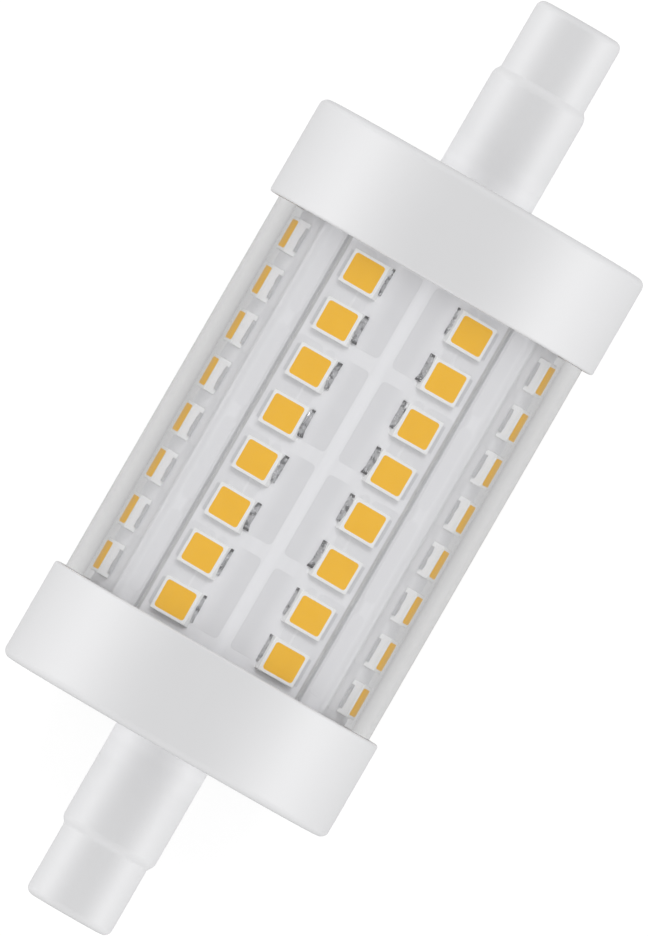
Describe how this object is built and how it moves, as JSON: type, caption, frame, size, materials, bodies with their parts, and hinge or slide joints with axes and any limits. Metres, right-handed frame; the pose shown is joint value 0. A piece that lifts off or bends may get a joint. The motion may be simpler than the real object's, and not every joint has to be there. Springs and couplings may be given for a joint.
{
  "type": "linear led bulb",
  "caption": "Double-ended linear LED lamp: white moulded end caps with slim recessed-contact tips hold a clear tube round folded boards with columns of square yellow LEDs.",
  "frame": {"origin": "middle of the lamp, on its axis", "axes": "+X along the lamp's axis to the right end, +Z along the ridge between the upper LED columns, which is the side seen in the picture"},
  "size_m": [0.078, 0.0282, 0.0282],
  "materials": {
    "cap_plastic": "smooth white moulded plastic, satin gloss",
    "contact_metal": "nickel-plated, lightly worn",
    "clear_plastic": "clear, smooth",
    "former_plastic": "white, matt",
    "board_mask": "white solder mask, satin",
    "led_housing": "white moulded, satin",
    "led_phosphor": "yellow silicone with phosphor, satin",
    "solder_metal": "tinned, slightly rough",
    "driver_laminate": "green solder mask",
    "dark_moulding": "black moulded epoxy",
    "capacitor_sleeve": "dark shrink sleeve",
    "fuse_ceramic": "pale ceramic block, matt",
    "ferrite": "sintered, dark grey",
    "copper_wire": "enamelled copper wire",
    "lead_insulation": "white silicone insulation"
  },
  "bodies": {
    "root": {"board_links": "solder_metal", "bridge_rectifier": "dark_moulding", "choke_core": "ferrite", "choke_winding": "copper_wire", "clear_tube": "clear_plastic", "current_resistors": "dark_moulding", "driver_board": "driver_laminate", "driver_chip": "dark_moulding", "front_led_board": "board_mask", "front_led_lead": "lead_insulation", "front_lower_led_housings": "led_housing", "front_lower_led_phosphors": "led_phosphor", "front_lower_led_solder_joints": "solder_metal", "front_upper_led_housings": "led_housing", "front_upper_led_phosphors": "led_phosphor", "front_upper_led_solder_joints": "solder_metal", "input_capacitor": "capacitor_sleeve", "input_fuse": "fuse_ceramic", "led_former": "former_plastic", "left_contact": "contact_metal", "left_end_cap": "cap_plastic", "left_supply_lead": "lead_insulation", "lower_front_led_housings": "led_housing", "lower_front_led_phosphors": "led_phosphor", "lower_front_led_solder_joints": "solder_metal", "lower_led_board": "board_mask", "lower_rear_led_housings": "led_housing", "lower_rear_led_phosphors": "led_phosphor", "lower_rear_led_solder_joints": "solder_metal", "output_capacitor": "capacitor_sleeve", "rear_led_board": "board_mask", "rear_led_lead": "lead_insulation", "rear_lower_led_housings": "led_housing", "rear_lower_led_phosphors": "led_phosphor", "rear_lower_led_solder_joints": "solder_metal", "rear_upper_led_housings": "led_housing", "rear_upper_led_phosphors": "led_phosphor", "rear_upper_led_solder_joints": "solder_metal", "right_contact": "contact_metal", "right_end_cap": "cap_plastic", "right_supply_lead": "lead_insulation", "upper_front_led_housings": "led_housing", "upper_front_led_phosphors": "led_phosphor", "upper_front_led_solder_joints": "solder_metal", "upper_led_board": "board_mask", "upper_rear_led_housings": "led_housing", "upper_rear_led_phosphors": "led_phosphor", "upper_rear_led_solder_joints": "solder_metal"}
  },
  "joints": []
}
